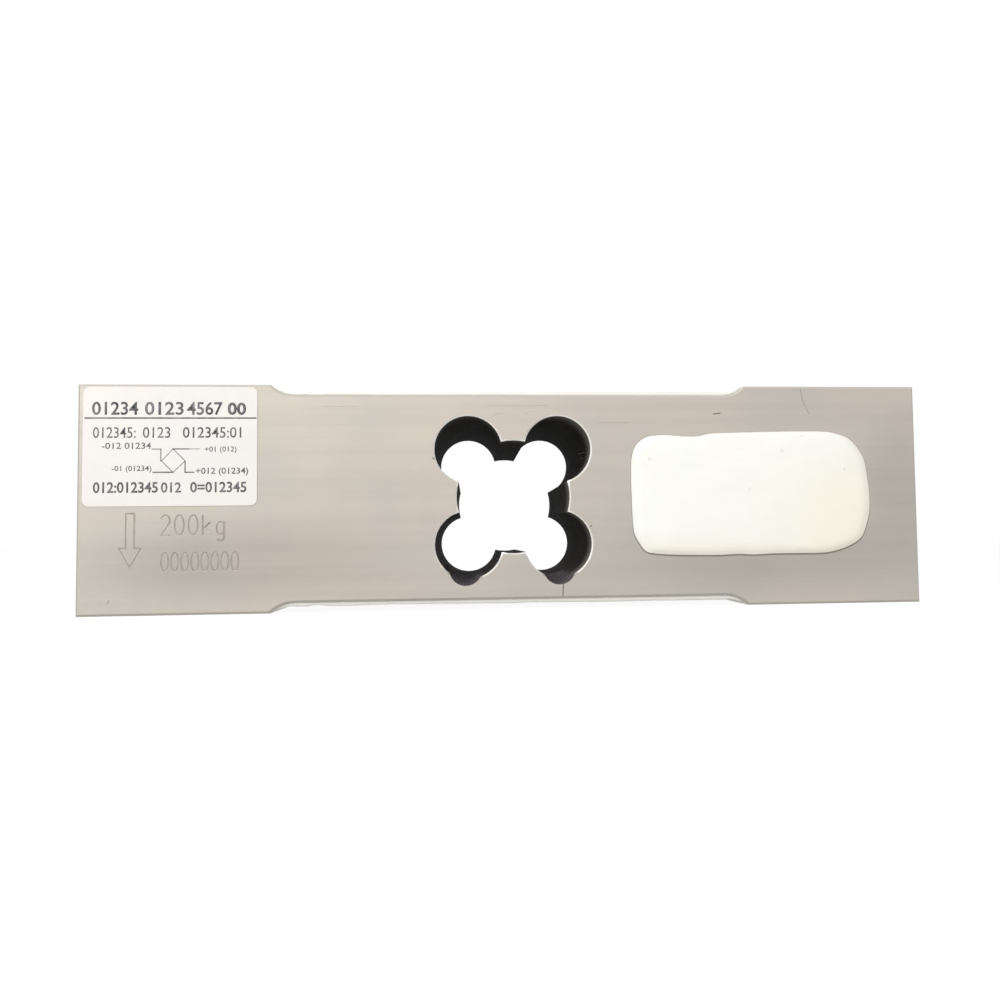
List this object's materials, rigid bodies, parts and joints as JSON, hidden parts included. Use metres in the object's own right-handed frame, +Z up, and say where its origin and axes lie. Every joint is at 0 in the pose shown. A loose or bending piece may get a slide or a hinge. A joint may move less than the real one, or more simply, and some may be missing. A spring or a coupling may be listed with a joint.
{
  "type": "single point load cell",
  "caption": "Single point load cell: aluminium beam with a clover opening, raised mounting pads, potted wiring pocket and silicone-coated strain gauges.",
  "frame": {"origin": "middle of the underside, midway between the beam's ends and its front and back faces", "axes": "+X along the beam from the loaded end to the fixed end, +Y from the labelled front face to the back, +Z up"},
  "size_m": [0.15, 0.0362, 0.04],
  "materials": {
    "beam": "satin, fine brushed grain along the beam; the clover's bores are dark and machined",
    "potting": "cream-white silicone, soft sheen, smeared by hand",
    "coat": "thin translucent grey-white silicone",
    "label": "white polyester film, satin",
    "seal": "black rubber, matt",
    "board": "green glass-epoxy board",
    "lands": "solder-tinned copper lands",
    "tinned_wire": "bare tinned copper ribbon",
    "gauge": "amber polyimide carrier with a constantan foil grid",
    "terminal": "polyimide strip with copper lands",
    "enamelled_wire": "enamelled copper wire",
    "chip": "chip resistor, black glaze with tinned ends"
  },
  "bodies": {
    "root": {"beam": "beam", "side_potting": "potting", "top_coat": "coat", "bottom_coat": "coat", "rating_label": "label", "cable_seal": "seal", "circuit_board": "board", "board_lands": "lands", "jumper_top": "tinned_wire", "jumper_bottom": "tinned_wire", "gauge_top_left": "gauge", "gauge_top_right": "gauge", "gauge_bottom_left": "gauge", "gauge_bottom_right": "gauge", "terminal_top_left": "terminal", "terminal_top_right": "terminal", "terminal_bottom_left": "terminal", "terminal_bottom_right": "terminal", "lead_top_left": "enamelled_wire", "lead_top_middle": "enamelled_wire", "lead_top_right": "enamelled_wire", "lead_bottom_left": "enamelled_wire", "lead_bottom_middle": "enamelled_wire", "lead_bottom_right": "enamelled_wire", "span_resistor_upper": "chip", "span_resistor_lower": "chip", "zero_resistor": "chip", "trim_resistor_upper": "chip", "trim_resistor_lower": "chip"}
  },
  "joints": []
}
